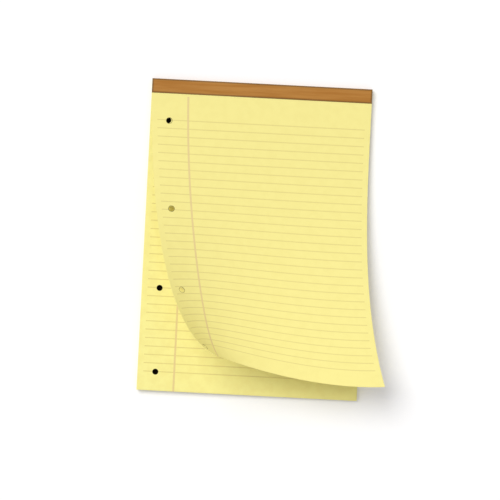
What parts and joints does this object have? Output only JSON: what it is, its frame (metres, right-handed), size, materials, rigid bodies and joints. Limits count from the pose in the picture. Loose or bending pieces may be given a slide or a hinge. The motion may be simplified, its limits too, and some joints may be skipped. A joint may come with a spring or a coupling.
{
  "type": "legal pad",
  "caption": "Ruled yellow legal pad, taped and stitched at the head on a stiff board, punched for a ring binder, with its top sheet curled up.",
  "frame": {"origin": "centre of the backing board's back face", "axes": "+Z out of the pad's face, +Y towards the taped head, +X to the reader's right"},
  "size_m": [0.2321, 0.2972, 0.1059],
  "materials": {
    "board": "matt grey-brown board",
    "paper": "matt yellow writing paper",
    "sheet": "matt yellow writing paper",
    "wire": "bright drawn wire",
    "tape": "matt brown paper tape"
  },
  "bodies": {
    "root": {"backing_board": "board", "page_block": "paper", "top_sheet": "sheet", "wire_stitches": "wire", "binding_tape": "tape"}
  },
  "joints": []
}
